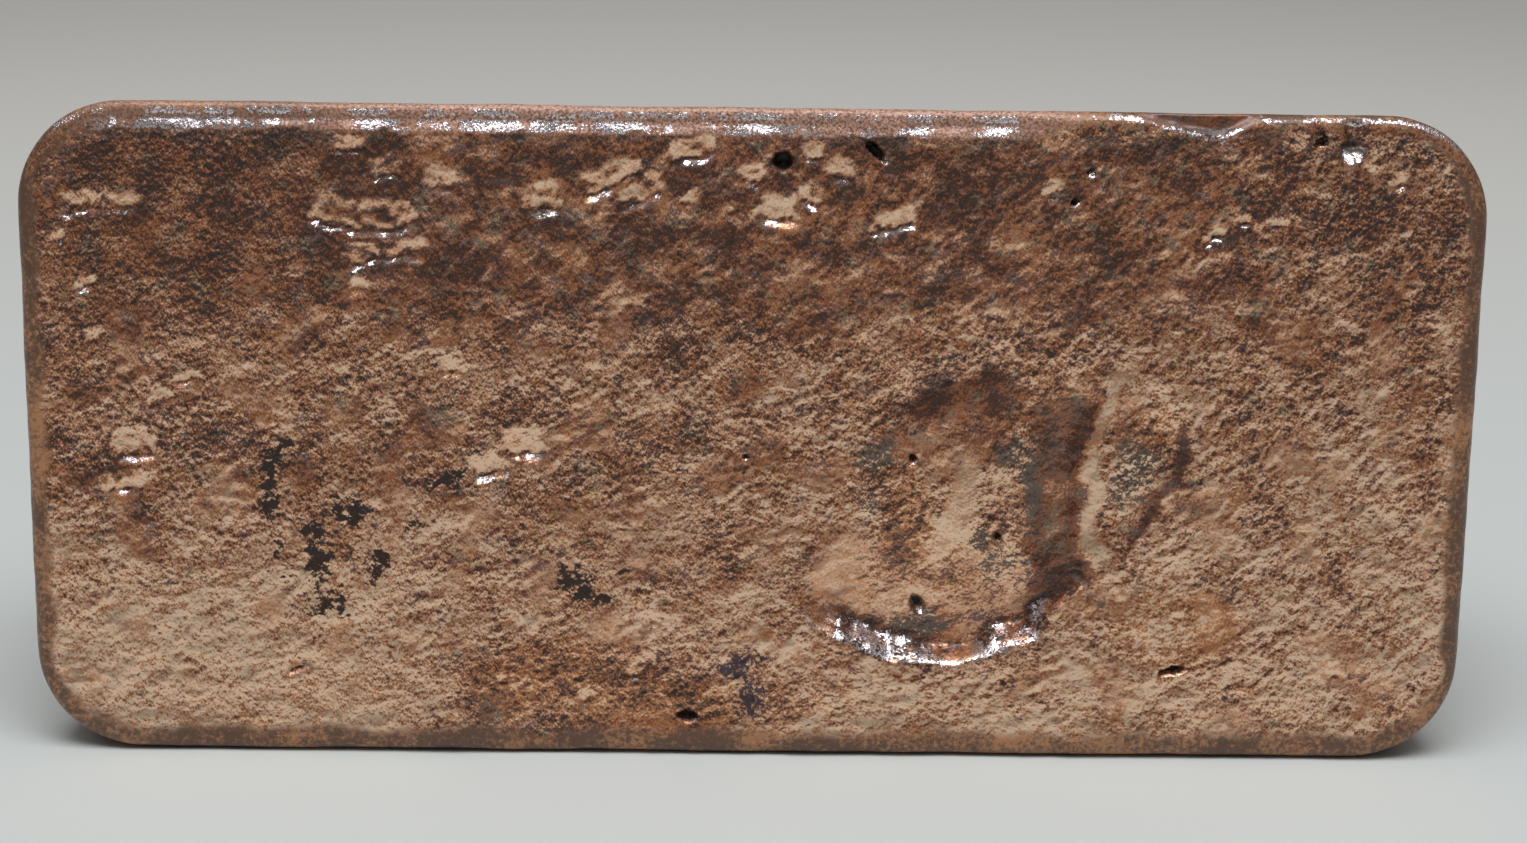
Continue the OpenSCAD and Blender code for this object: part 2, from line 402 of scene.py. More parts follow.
def hollow(x, y):
    """Depth of the shrinkage hollow, its smooth parts, its painted shade and brown blotch, its painted
    light and glints.
    """
    x = x + waves(x, y, (0.9, 4.5, 31), (0.40, 1.8, 32))
    y = y + waves(x, y, (0.8, 4.0, 33), (0.35, 1.6, 34))

    # Bowl and its lower lip
    off = np.abs(x - bowl_lip_middle[0])
    curl = np.where(x < bowl_lip_middle[0], bowl_lip_curl_left, bowl_lip_curl_right)
    above_lip = y - bowl_lip_middle[1] - curl * off ** bowl_lip_power
    glint_stretch = sum(np.exp(-((x - middle) / half) ** power) for middle, half, power in bright_stretches)
    wall = smooth(0.0, 1.5 + 1.9 * glint_stretch, above_lip)
    left_edge = 8.0 - 4.0 * smooth(-12, -18, y)
    left_wall = smooth(left_edge, left_edge + 7.0, x)
    right_wall = 1 - smooth(24.0, 30.0, x) * smooth(-19, -11, y)
    bowl_rise = smooth(bowl_height, 0.0, above_lip)
    bowl = bowl_depth * wall * left_wall * right_wall * bowl_rise * smooth(38, 30, x)
    lip_span = between(x, 4.0, 7.0, 28, 31)
    lip_step = lip_step_depth * smooth(0.0, 0.45, above_lip) * smooth(6.0, 1.0, above_lip) * lip_span
    # A thin line and a band along the bowl's lower lip, where glints are painted
    lip_line = between(above_lip, -0.2, 0.05, 0.35, 0.60) * lip_span
    glitter = between(above_lip, -0.3, 0.3, 2.4, 4.0) * np.clip(glint_stretch, 0, 1)
    slope_strip = between(x, 4.5, 7.5, 10, 17) * smooth(-5, -13, y) * wall
    along_ridge, across_ridge = turned(x, y, ridge_middle, ridge_turn)
    ridge_strip = smooth(1.7, 0.7, np.abs(across_ridge)) * smooth(7.5, 5.0, np.abs(along_ridge))
    from_blotch = np.hypot((x - blotch_middle[0]) / blotch_half[0], (y - blotch_middle[1]) / blotch_half[1])
    in_blotch = 1 - smooth(0.3, 1.3, from_blotch)

    # Ring groove round a small hole
    ring = np.hypot(x - groove_middle[0], y - groove_middle[1])
    groove = groove_depth * np.exp(-((ring - groove_r) / 0.3) ** 2)
    ring_shade = np.exp(-((ring - 1.2) / 0.45) ** 2)

    # Crown
    u, v = turned(x, y, crown_middle, crown_turn)
    crown = crown_depth * smooth(5.0, 1.8, v) * smooth(-5.0, 2.4, v) * smooth(9.0, 4.0, np.abs(u))
    in_crown = smooth(3.8, 0.6, v) * smooth(-7.0, 0.5, v + 0.3 * u) * smooth(9.0, 2.5, np.abs(u))

    # Trough and its right lip
    lip_x = trough_lip_x + trough_lip_curl * (y - trough_middle_y) ** 2
    lip_x = lip_x - tongue_length * np.exp(-((y - tongue_y) / tongue_half_width) ** 2)
    past_lip = x - lip_x
    trough = trough_depth * smooth(0.2, -2.6, past_lip) * smooth(26.5, 32.4, x) * smooth(14.0, -4.0, y)
    trough = trough * smooth(0.0, 3.4, above_lip)
    in_trough = smooth(0.2, -0.8, past_lip) * smooth(27.0, 30.5, x) * smooth(9.0, 2.0, y) * wall
    lip_strip = between(past_lip, -0.4, 0.1, 1.0, 1.8) * between(y, -14, -11, 5.0, 11.0)

    # Dent
    into_dent = dent_edge_x - dent_edge_curl * (y - dent_middle_y) ** 2 - x
    dent_span = between(y, -13.5, -9.0, 0.5, 4.5)
    dent = dent_depth * smooth(0.0, 1.2, into_dent) * smooth(10.0, 0.0, into_dent) * dent_span
    dent_line = between(into_dent, -0.2, 0.2, 0.5, 1.3) * dent_span

    deep = np.maximum.reduce([bowl, crown, trough, dent]) + groove + lip_step
    return deep, {
        "smooth": np.maximum.reduce([
            0.9 * in_crown, 0.85 * in_trough, 0.8 * lip_strip, 0.75 * slope_strip, 0.8 * dent_line,
            0.7 * ridge_strip, 0.5 * smooth(0.3, 1.2, deep)]),
        # Painted shade on the crown, the trough, the dent's edge and the ring groove, and a brown blotch
        "shade_and_blotch": np.maximum.reduce([
            0.75 * in_crown, 0.65 * in_trough, 0.65 * in_blotch, 1.1 * dent_line, 0.7 * ring_shade]),
        # Painted light on the trough's right lip, the bowl's left slope and the ridge
        "painted_light": np.maximum.reduce([1.9 * lip_strip, 0.7 * slope_strip, 0.8 * ridge_strip]),
        "glitter": glitter,
        "lip_line": lip_line,
    }


# Stains and spots of the skin: middle, half sizes, turn
black_stains = [
    ((-48.6, -1.4), (2.4, 0.8), 25),
    ((-50.0, -4.4), (0.8, 2.4), -12),
    ((-50.0, -7.8), (0.9, 2.0), 14),
    ((-49.6, -12.0), (0.6, 1.8), 10),
    ((-48.2, -15.2), (1.4, 1.5), 40),
    ((-45.2, -14.0), (1.3, 3.2), 10),
    ((-45.4, -10.4), (1.6, 1.4), 0),
    ((-41.6, -8.2), (2.6, 1.5), 8),
    ((-45.0, -18.0), (1.9, 1.5), 20),
    ((-42.6, -18.8), (1.4, 2.0), 20),
    ((-39.2, -14.0), (1.3, 2.2), -20),
    ((-34.6, -9.6), (1.6, 0.8), 15),
    ((-31.6, -4.6), (2.2, 0.8), 15),
    ((-18.4, -15.4), (2.4, 2.0), -20),
    ((-15.4, -17.4), (1.8, 1.1), -20),
    ((-13.6, -14.6), (1.2, 0.8), 0),
]
slate_spots = [
    ((29.0, -4.6), (1.0, 4.2), 8),
    ((26.4, -13.6), (2.6, 2.0), 40),
    ((12.2, -7.0), (1.0, 1.6), 0),
    ((12.6, -1.6), (2.0, 1.6), 0),
    ((23.4, -10.8), (1.5, 1.2), 0),
    ((26.6, -1.2), (1.4, 2.6), -30),
    ((39.6, -3.0), (2.6, 4.6), -10),
    ((17.8, -20.4), (4.0, 1.4), 0),
]
rust_spots = [
    ((45.0, -20.0), (7.0, 4.5), 0),
    ((41.6, 1.6), (2.6, 2.4), 0),
    ((-9.0, -28.6), (10.0, 3.2), 0),
    ((-22.0, -25.4), (8.0, 4.0), 10),
    ((16.2, -8.6), (2.8, 5.0), 0),
]
dark_spots = [
    ((55.4, 22.8), (5.4, 2.2), 10),
    ((61.6, 24.2), (4.6, 3.6), 0),
    ((65.0, 15.0), (2.4, 4.6), 15),
    ((70.8, 18.0), (1.3, 7.0), 0),
    ((69.6, 2.0), (1.0, 8.0), 5),
]
violet_flecks = [
    ((-0.8, -24.2), (3.2, 2.4), 20),
    ((-0.2, -28.0), (2.8, 2.8), 60),
    ((-46.6, -24.4), (0.9, 0.7), 0),
]


def patches(x, y, spots):
    """How far each point lies inside any of some oval spots, from 0 to 1 at their middles."""
    inside = np.zeros_like(x)
    for middle, half, degrees in spots:
        u, v = turned(x, y, middle, degrees)
        inside = np.maximum(inside, 1 - smooth(0.0, 1.5, np.hypot(u / half[0], v / half[1])))
    return inside


# Areas of the face that froze differently, and how much more bare or calm each of them is
area_bare = {
    "lower_left": 0.24, "left": -0.09, "upper_corner": -0.09, "right_middle": 0.07, "upper_right": 0.05,
    "upper_band": -0.07, "foot": -0.31, "below_hollow": 0.08,
}
area_calm = {"upper_left": 0.4, "upper_band": 0.62, "foot": 0.3}


def face_areas(x, y):
    """Areas of the face, each from 0 to 1."""
    right = smooth(-5, 30, x)
    upper_left = smooth(-22, -56, x) * smooth(2, 26, y)
    return {
        "right": right,
        "right_middle": right * smooth(22, 8, y),
        "upper_left": upper_left,
        "upper_corner": upper_left * smooth(8, 22, y),
        "lower_left": smooth(-28, -50, x) * smooth(-8, -22, y),
        "left": smooth(-44, -60, x) * between(y, -12, -4, 4, 12),
        "upper_right": smooth(40, 52, x) * smooth(6, 16, y),
        "upper_band": between(x, -54, -42, 40, 66) * between(y, 8, 16, 30, 34),
        "foot": between(x, -34, -28, -6, 0) * smooth(-20, -26, y),
        "below_hollow": between(x, 0, 8, 34, 42) * smooth(-24, -27, y),
    }


def strip_tone(x):
    """How strongly the strip along the top edge is painted as lit: browner at the left."""
    return 0.45 + 0.55 * smooth(-52, -30, x)


def glint_breakup(x, y):
    """Noise that breaks the painted glint along the top edge into stretches."""
    return waves(x, y, (1.0, 4.0, 71), (0.7, 0.9, 72))


skin_drop = 0.16
skin_depth = 0.50
skin_least = 0.02
bevel_depth = 0.75
ridge_height = 0.18
pit_depth = 0.10


def pour_relief(x, y):
    """Depth below the pour level, and the masks that the finish follows."""
    area = face_areas(x, y)
    edge = edge_distance(x, y)
    along, across = flow(x, y)
    along = along + waves(x, y, (0.5, 2.4, 6))
    across = across + waves(x, y, (0.5, 2.4, 7))
    deep, part = hollow(x, y)
    folds, crease_shade = fold_relief(x, y)
    in_fold = smooth(0.04, 0.16, folds)
    holes, hole_shade, hole_slopes = hole_relief(x, y)
    dip = dip_depth(x, y)
    in_dip = smooth(0.10, 0.35, dip)
    scoop_lip = scoop_finish(x, y)[0]

    # Strip along the top edge, worn and painted as lit by the lamp, and dark rim along the ends and, as
    # painted shade, the foot
    strip = smooth(24, 29, y) * between(x, -71, -64, 24, 34)
    strip_width = 1.35 + waves(x, y, (0.5, 6.0, 10), (0.3, 1.8, 9))
    bevel = strip * np.clip(1 - edge / strip_width, 0, 1)
    lit_strip = strip * smooth(0.02, 0.20, bevel)
    foot_edge = edge + waves(x, y, (0.7, 4.5, 18), (0.4, 1.3, 19))
    shaded_foot_rim = smooth(-24, -29, y) * smooth(1.6, 0.1, foot_edge)
    end_rim = smooth(66, 70, np.abs(x)) * smooth(0.9, 0.2, foot_edge) * (1 - strip)

    # Wrinkled skin: clusters of pits, ridges along the flow, and lumps under the top edge
    cluster = 0.12 + waves(x, y, (1.0, 6.5, 41), (0.6, 2.8, 42))
    cluster = cluster + 0.45 * area["right"] - 0.5 * area["upper_left"] - 0.1 * area["lower_left"]
    rough = smooth(-0.35, 0.40, cluster) * (1 - 0.85 * part["smooth"])
    grainy = ripple(0.85 * along, across, 1.30, 43) + 0.6 * ripple(0.95 * along, across, 0.75, 44)
    pits = pit_depth * (0.4 + 0.6 * rough) * (1 - 0.5 * area["upper_left"]) * grainy
    streak = ripple(0.50 * along, across, 1.9, 45)
    ridge = smooth(0.80, 0.99, 1 - np.abs(ripple(0.20 * along, across, 1.7, 46)))
    ridge = ridge * smooth(-0.1, 0.4, ripple(x, y, 5.0, 47) + 0.1 * area["right"])
    ridge = ridge * (1 - part["smooth"]) * (1 - area["upper_left"])
    swell = waves(x, y, (0.30, 15.0, 1), (0.16, 6.0, 2))
    swell = swell + 0.06 * streak * (1 - 0.6 * area["upper_left"])
    lumps = (0.10 + 0.20 * area["upper_band"]) * ripple(0.8 * along, across, 2.8, 48)
    inner = smooth(0.0, 2.4, edge + 0.9 * ripple(x, y, 3.2, 8))
    inner = np.maximum(inner, 0.8 * smooth(-20, -30, y))
    wrinkles = np.clip(skin_depth - swell - lumps - ridge_height * ridge + pits, skin_least, None)
    skin = skin_drop + bevel_depth * bevel + inner * (wrinkles - 0.8 * pits * in_fold)
    facets = part["glitter"] * waves(x, y, (0.60, 3.0, 51), (0.38, 1.0, 52))
    depth = np.maximum(skin + folds + np.maximum(deep + facets, 0), dip)

    # Painted glints: silver highlights on the lips of folds, of holes and of the hollow, and on the strip
    # along the top edge
    broken = smooth(-0.45, 0.35, waves(x, y, (1.0, 1.4, 53), (0.6, 0.75, 54)))
    skin_lean = np.clip(lean(x, y, skin), -0.5, 0.5) * (1 - in_fold) * smooth(1.5, 3.5, edge)
    fold_lean = lean(x, y, folds)
    lip_lean = lean(x, y, deep + facets) * part["glitter"]
    lip_shine = np.maximum(smooth(0.25, 0.60, -fold_lean), smooth(0.20, 0.55, -lip_lean))
    crescent = part["glitter"] * (0.55 + 0.45 * broken) * smooth(-0.1, 0.25, -lip_lean)
    painted_glint = np.maximum(hole_slopes, 0.9 * scoop_lip) + broken * lip_shine
    painted_glint = np.maximum.reduce([painted_glint, 0.85 * part["lip_line"], crescent])
    painted_glint = painted_glint + 0.9 * area["upper_band"] * smooth(0.42, 0.60, -skin_lean) * broken
    painted_glint = painted_glint + 0.95 * lit_strip * smooth(-0.65, 0.2, glint_breakup(x, y))

    # Bare metal along the flow; painted reflection of the floor makes it paler towards the foot
    bare_and_lit = 0.245 + 0.35 * smooth(30, -28, y + 4 * ripple(x, y, 14.0, 21)) - 0.02 * smooth(14, 24, y)
    bare_and_lit = bare_and_lit + sum(tone * area[name] for name, tone in area_bare.items())
    bare_and_lit = bare_and_lit - 0.16 * patches(x, y, dark_spots) + 0.15 * ripple(x, y, 10.0, 22)
    bare_and_lit = bare_and_lit + waves(0.8 * along, across, (0.25, 4.2, 23), (0.16, 2.0, 24))
    bare_and_lit = bare_and_lit + 0.08 * streak + 0.27 * ridge
    # Painted reflection and shade: paler on what faces down, darker on what faces up, in the dips and the
    # deep hollow
    bare_and_lit = bare_and_lit + 0.9 * skin_lean + 0.25 * np.clip(lean(x, y, deep), -0.4, 0.4)
    bare_and_lit = bare_and_lit + 0.76 * smooth(0.04, 0.24, fold_lean) - crease_shade - 0.20 * in_dip
    bare_and_lit = bare_and_lit + 0.25 * part["painted_light"] - 0.45 * part["shade_and_blotch"] - 0.9 * part["glitter"]
    bare_and_lit = bare_and_lit - 0.09 * smooth(0.3, 1.2, deep)

    # Calm stretches and ragged stains
    sleek = 0.65 * smooth(0.0, 0.5, ripple(0.8 * along, across, 5.0, 25))
    calm_areas = [tone * area[name] for name, tone in area_calm.items()]
    ragged_x = x + waves(x, y, (1.0, 2.0, 91), (0.6, 0.9, 92))
    ragged_y = y + waves(x, y, (1.0, 2.0, 93), (0.6, 0.9, 94))
    holed = np.clip(1.05 + 0.6 * ripple(x, y, 1.1, 95), 0, 1.4)
    return depth + holes, {
        "calm": np.maximum.reduce([part["smooth"], in_dip, 0.4 * in_fold, sleek] + calm_areas),
        "hole_shade": hole_shade,
        "rough": rough * (1 - in_fold),
        "bare_and_lit": np.clip(bare_and_lit, 0, 1),
        "painted_glint": np.clip(painted_glint, 0, 1),
        "rim": np.maximum(shaded_foot_rim, end_rim),
        "strip": lit_strip * strip_tone(x),
        "stain": holed * patches(ragged_x, ragged_y, black_stains),
        "violet": patches(ragged_x, ragged_y, violet_flecks),
        "slate": patches(ragged_x, ragged_y, slate_spots),
        "rusty": patches(x, y, rust_spots),
    }


# Rim, walls and mould floor
# The same casting beyond the pour face: the metal drew a round rim against the mould, and its walls and
# floor took the shallow waves of the mould's coating. Rings of points run from the rim to the back.
wall_drawn_in = 0.14
wall_wave = 0.09
floor_wave = 0.08
fine_wave = 0.04


def wall_relief(x, y, z, out_x, out_y):
    """Inward waves of the mould's walls."""
    broad = out_y ** 2 * ripple(x, z, 7.0, 11) + out_x ** 2 * ripple(y, z, 7.0, 12)
    fine = out_y ** 2 * ripple(x, z, 2.6, 13) + out_x ** 2 * ripple(y, z, 2.6, 14)
    return wall_drawn_in + wall_wave * broad + fine_wave * fine


def floor_relief(x, y):
    """Inward waves of the mould's floor."""
    return wall_drawn_in + waves(x, y, (floor_wave, 9.0, 15), (fine_wave, 3.0, 16))


axis_x, axis_y, out_x, out_y = mould_grid(face_columns, face_rows)
face_x, face_y = crowd(axis_x + rim_reach * out_x, axis_y + rim_reach * out_y)
face_depth, face_masks = pour_relief(face_x, face_y)


def lay_ring(reach, level, turn, step):
    """Points of one ring round the bar, drawn inward by its relief."""
    ax, ay, ox, oy = (border(grid)[::step] for grid in (axis_x, axis_y, out_x, out_y))
    x = ax + reach * ox
    y = ay + reach * oy
    to_wall = smooth(0.0, 1.2, turn)
    to_floor = smooth(rim_turn + 0.2, math.pi - 0.1, turn)
    inward = (1 - to_wall) * border(face_depth)[::step]
    inward = inward + to_wall * (1 - to_floor) * wall_relief(x, y, level, ox, oy)
    inward = inward + to_floor * floor_relief(x, y)
    side = reach - inward * math.sin(turn)
    z = np.full_like(x, level) - inward * math.cos(turn)
    z = np.minimum(z, -dip_depth(x, y)) if turn < rim_turn else z
    return np.stack([ax + side * ox, ay + side * oy, z], -1)


def rim_finish(ring, turn):
    """Masks of the round rim: a top strip, worn and painted as lit, and a painted highlight where it faces
    the lamp.
    """
    x = ring[:, 0]
    y = ring[:, 1]
    on_top = smooth(0.2, 0.6, border(out_y))
    strip = on_top * between(x, -71, -64, 26, 36)
    wave = turn + 0.12 * ripple(x, y, 5.0, 73)
    upward = np.sin(wave) * border(out_y) * math.cos(draft) + np.cos(wave) * math.sin(draft)
    thin_line = on_top * between(upward, 0.50, 0.64, 0.84, 0.95)
    lamp_lit = strip * between(wave, 0.15, 0.45, 0.75, 0.95)
    lamp_lit = np.maximum(lamp_lit, 0.9 * (1 - strip) * thin_line)
    scoop_lip, scoop_floor = scoop_finish(x, y)
    lamp_lit = np.maximum(lamp_lit * (1 - scoop_floor), scoop_lip)
    sharp = (1 - strip) * smooth(0.7, 0.3, turn) * on_top
    right_corner = smooth(58, 62, x)
    return {
        "rim": (1 - sharp) * (1 - scoop_floor),
        "strip": strip * strip_tone(x),
        "calm": 0.3 + 0.7 * scoop_floor,
        "rough": 0.3 * (1 - scoop_floor),
        "bare_and_lit": 0.35 - 0.1 * scoop_floor,
        "painted_glint": 0.95 * lamp_lit * smooth(-0.7, 0.3, glint_breakup(x, y) + right_corner),
    }


def mould_finish(ring, worn):
    """Masks of what froze against the mould: calm, with clouds of bare metal, more of it where worn."""
    x, y, z = ring.T
    clouds = ripple(x + 0.7 * z, y + z, 9.0, 81) + 0.6 * ripple(x - z, y + 0.7 * z, 3.5, 82)
    return {"calm": 0.85, "rough": 0.1, "bare_and_lit": 0.34 + 0.18 * clouds + worn * (0.14 + 0.14 * clouds)}


# Points, masks and faces, begun with the pour face
plain_mask = {
    "calm": 0.3, "hole_shade": 0.0, "rough": 0.3, "bare_and_lit": 0.35, "painted_glint": 0.0, "rim": 0.0, "strip": 0.0,
    "stain": 0.0, "violet": 0.0, "slate": 0.0, "rusty": 0.0,
}
points = [np.stack([face_x, face_y, -face_depth], -1).reshape(-1, 3)]
masks = {name: [values.ravel()] for name, values in face_masks.items()}


def grid_quads(index):
    """Faces between the points of a grid."""
    return np.stack([index[:-1, :-1], index[:-1, 1:], index[1:, 1:], index[1:, :-1]], -1).reshape(-1, 4)


def add_points(ring, finish):
    """Adds points with their masks, and returns their numbers."""
    first = sum(len(part) for part in points)
    points.append(ring)
    for name, value in plain_mask.items():
        masks[name].append(np.full(len(ring), finish.get(name, value)))
    return np.arange(first, first + len(ring))


def join_rings(upper, lower):
    """Faces between two rings; where the lower has half as many points, three triangles a step."""
    upper_next = np.roll(upper, -1)
    lower_next = np.roll(lower, -1)
    if len(upper) == len(lower):
        quads.append(np.stack([lower, lower_next, upper_next, upper], -1))
        return
    even = upper[::2]
    odd = upper[1::2]
    even_next = np.roll(even, -1)
    triangles.append(np.stack([lower, odd, even], -1))
    triangles.append(np.stack([lower, lower_next, odd], -1))
    triangles.append(np.stack([lower_next, even_next, odd], -1))


face_index = np.arange(face_x.size).reshape(face_x.shape)
quads = [grid_quads(face_index)]
triangles = []
loop = border(face_index)

for k in range(1, rim_rows + 1):
    turn = rim_turn * k / rim_rows
    ring = lay_ring(rim_reach + rim_r * math.sin(turn), rim_r * (math.cos(turn) - 1), turn, 1)
    new_loop = add_points(ring, rim_finish(ring, turn))
    join_rings(loop, new_loop)
    loop = new_loop

wall_top = (rim_reach + rim_r * math.cos(draft), -rim_r - rim_r * math.sin(draft))
wall_foot = (floor_reach + floor_r * math.cos(draft), floor_r - thickness - floor_r * math.sin(draft))
for k in range(1, wall_rows + 1):
    share = k / wall_rows
    reach = wall_top[0] + share * (wall_foot[0] - wall_top[0])
    level = wall_top[1] + share * (wall_foot[1] - wall_top[1])
    ring = lay_ring(reach, level, rim_turn, wall_step)
    new_loop = add_points(ring, mould_finish(ring, 0.0))
    join_rings(loop, new_loop)
    loop = new_loop

for k in range(1, floor_rows + 1):
    turn = rim_turn + (math.pi - rim_turn) * k / floor_rows
    last = k == floor_rows
    reach = floor_reach + floor_r * math.sin(turn)
    level = floor_r * (math.cos(turn) + 1) - thickness
    ring = lay_ring(reach, level, turn, back_step if last else wall_step)
    new_loop = add_points(ring, mould_finish(ring, 0.0 if last else 1.0))
    join_rings(loop, new_loop)
    loop = new_loop

back_columns = face_columns // back_step
back_rows = face_rows // back_step
back_ax, back_ay, back_ox, back_oy = mould_grid(back_columns, back_rows)
back_x = back_ax + floor_reach * back_ox
back_y = back_ay + floor_reach * back_oy
back = np.stack([back_x, back_y, floor_relief(back_x, back_y) - thickness], -1)
back_inner = back[1:-1, 1:-1].reshape(-1, 3)
inner_index = add_points(back_inner, mould_finish(back_inner, 0.0))
back_index = np.zeros(back_x.shape, int)
back_index[1:-1, 1:-1] = inner_index.reshape(back_rows - 1, back_columns - 1)
sides = np.split(loop, [back_columns, back_columns + back_rows, 2 * back_columns + back_rows])
back_index[0, :-1], back_index[:-1, -1], back_index[-1, :0:-1], back_index[:0:-1, 0] = sides
quads.append(grid_quads(back_index.T))

# Stand the bar on its long wall, pour face to the front, centred over the origin
tip_cos = math.cos(draft)
tip_sin = math.sin(draft)
cast = np.concatenate(points)
stood = np.stack([
    cast[:, 0],
    cast[:, 1] * tip_sin - cast[:, 2] * tip_cos,
    cast[:, 1] * tip_cos + cast[:, 2] * tip_sin,
], -1)
lowest = -(straight_y + rim_reach) * tip_cos - rim_r * tip_sin - rim_r
foremost = -(straight_y + rim_reach) * tip_sin + rim_r * tip_cos - rim_r
hindmost = (straight_y + floor_reach) * tip_sin + (thickness - floor_r) * tip_cos + floor_r
stood = stood - [0, (foremost + hindmost) / 2, lowest]

mesh = bpy.data.meshes.new("ingot_casting")
faces = np.concatenate(quads).tolist() + np.concatenate(triangles).tolist()
mesh.from_pydata((stood * MM).tolist(), [], faces)
mesh.shade_smooth()
for name, parts in masks.items():
    mesh.attributes.new(name, "FLOAT", "POINT").data.foreach_set("value", np.concatenate(parts))
flow_lines = np.stack([*flow(cast[:, 0], cast[:, 1]), cast[:, 2]], -1)
mesh.attributes.new("flow_lines", "FLOAT_VECTOR", "POINT").data.foreach_set("vector", flow_lines.ravel())
ingot = bpy.data.objects.new("ingot_casting", mesh)
bpy.context.collection.objects.link(ingot)

# Copper with a brown patina
# The bar's finish: cast copper that went brown in the air, with black, rusty, grey and violet stains.
# Tan is painted on what faces down as a reflection of the floor, shade on what faces up, and silver glints
# on lips.
copper = bpy.data.materials.new("cast_copper")
copper.use_nodes = True
wiring = copper.node_tree
shader = wiring.nodes["Principled BSDF"]


def node(kind, inputs=None, **settings):
    """Adds a node to the wiring at hand, sets it up, and links or fills its inputs."""
    made = wiring.nodes.new(kind)
    for name, value in settings.items():
        setattr(made, name, value)
    for name, value in (inputs or {}).items():
        if isinstance(value, bpy.types.NodeSocket):
            wiring.links.new(value, made.inputs[name])
        else:
            made.inputs[name].default_value = value
    return made


def noise(vector, scale, detail, rough):
    """A noise texture's value over a vector in millimetres."""
    return node("ShaderNodeTexNoise", {
        "Vector": vector, "Scale": scale, "Detail": detail, "Roughness": rough}).outputs["Fac"]


def ramp(value, low, high, to_low=0.0, to_high=1.0):
    """Eases a value from one range to another."""
    return node("ShaderNodeMapRange", {
        "Value": value, "From Min": low, "From Max": high, "To Min": to_low, "To Max": to_high},
        interpolation_type="SMOOTHSTEP").outputs["Result"]


def combine(operation, a, b):
    """Works out one value from two."""
    return node("ShaderNodeMath", {0: a, 1: b}, operation=operation).outputs[0]


def total(*terms):
    """Adds up values, each with its own weight."""
    summed = combine("MULTIPLY", *terms[0])
    for value, weight in terms[1:]:
        summed = combine("ADD", summed, combine("MULTIPLY", value, weight))
    return summed


def blend(share, first, second):
    """Mixes two colours."""
    return node("ShaderNodeMix", {0: share, 6: first, 7: second}, data_type="RGBA").outputs[2]


def mask(name):
    """Reads one of the bar's own masks."""
    return node("ShaderNodeAttribute", attribute_name=name).outputs["Fac"]


def beside(vector, step):
    """The same vector, shifted by a step in millimetres."""
    return node("ShaderNodeVectorMath", {0: vector, 1: step}, operation="ADD").outputs[0]


umber = (0.075, 0.028, 0.014, 1)
brown = (0.29, 0.108, 0.054, 1)
rust = (0.36, 0.135, 0.055, 1)
plum = (0.19, 0.108, 0.094, 1)
grey_green = (0.22, 0.185, 0.125, 1)
slate = (0.13, 0.115, 0.095, 1)
warm_tan = (0.77, 0.42, 0.255, 1)
orange_tan = (0.72, 0.325, 0.145, 1)
pale_tan = (0.94, 0.67, 0.48, 1)
# Silver of the painted glints
glint_silver = (0.86, 0.80, 0.84, 1)
# Rim browns; along the foot the dark one is painted shade
rim_brown = (0.135, 0.066, 0.038, 1)
rim_tan = (0.50, 0.235, 0.11, 1)
# Colours of the worn strip along the top edge, painted as lit by the lamp
lit_strip_brown = (0.26, 0.13, 0.088, 1)
lit_strip_pink = (0.66, 0.365, 0.265, 1)
# Black of soot stains, also painted as shade in the blow holes
soot_and_shade = (0.015, 0.012, 0.013, 1)
violet = (0.035, 0.025, 0.05, 1)
flake_scale = 1.45
flake_step = Vector((0.04, 0.105, 0))
pit_scale = 1.2
pit_step = Vector((0.04, 0.095, 0))
pit_wander = (0.9, 0.9, 0.9)
mottle_middle = 1.575
bump_height = 0.12
coat_roughness = 0.15

# Grain of the skin, in place and along the lines of flow
place = node("ShaderNodeVectorMath", {
    0: node("ShaderNodeTexCoord").outputs["Object"], "Scale": 1 / MM}, operation="SCALE").outputs[0]
lines = node("ShaderNodeAttribute", attribute_name="flow_lines").outputs["Vector"]
fleck = noise(lines, scale=1.2, detail=3, rough=0.6)
speck = noise(lines, scale=4.4, detail=2, rough=0.6)
sparkle = noise(place, scale=3.4, detail=2, rough=0.6)
moss = noise(place, scale=2.0, detail=4, rough=0.7)
cloud = noise(place, scale=0.10, detail=3, rough=0.6)
hue = noise(place, scale=0.55, detail=3, rough=0.65)
tint = noise(place, scale=0.40, detail=4, rough=0.65)

# Flakes and pits with painted shading: paler on the sides that face down, darker on those that face up
flake = noise(lines, flake_scale, detail=3, rough=0.6)
flake_above = noise(beside(lines, flake_step), flake_scale, detail=3, rough=0.6)
flake_below = noise(beside(lines, -flake_step), flake_scale, detail=3, rough=0.6)
flake_shading = combine("SUBTRACT", flake_above, flake_below)
wander = node("ShaderNodeTexNoise", {"Vector": lines, "Scale": 1.5, "Detail": 2.0}).outputs["Color"]
wandered = node(
    "ShaderNodeVectorMath", {0: wander, 1: pit_wander, 2: lines}, operation="MULTIPLY_ADD").outputs[0]


def pitted(vector):
    """Distance from the middle of the nearest pit."""
    cells = node("ShaderNodeTexVoronoi", {"Vector": vector, "Scale": pit_scale}, feature="F1")
    return cells.outputs["Distance"]


pit_above = pitted(beside(wandered, pit_step))
pit_below = pitted(beside(wandered, -pit_step))
pit_ridge = combine("SUBTRACT", combine("ADD", pit_above, pit_below), 0.86)
pit_shading = combine("SUBTRACT", pit_above, pit_below)
pit_tone = total((pit_ridge, 0.35), (pit_shading, 0.9))

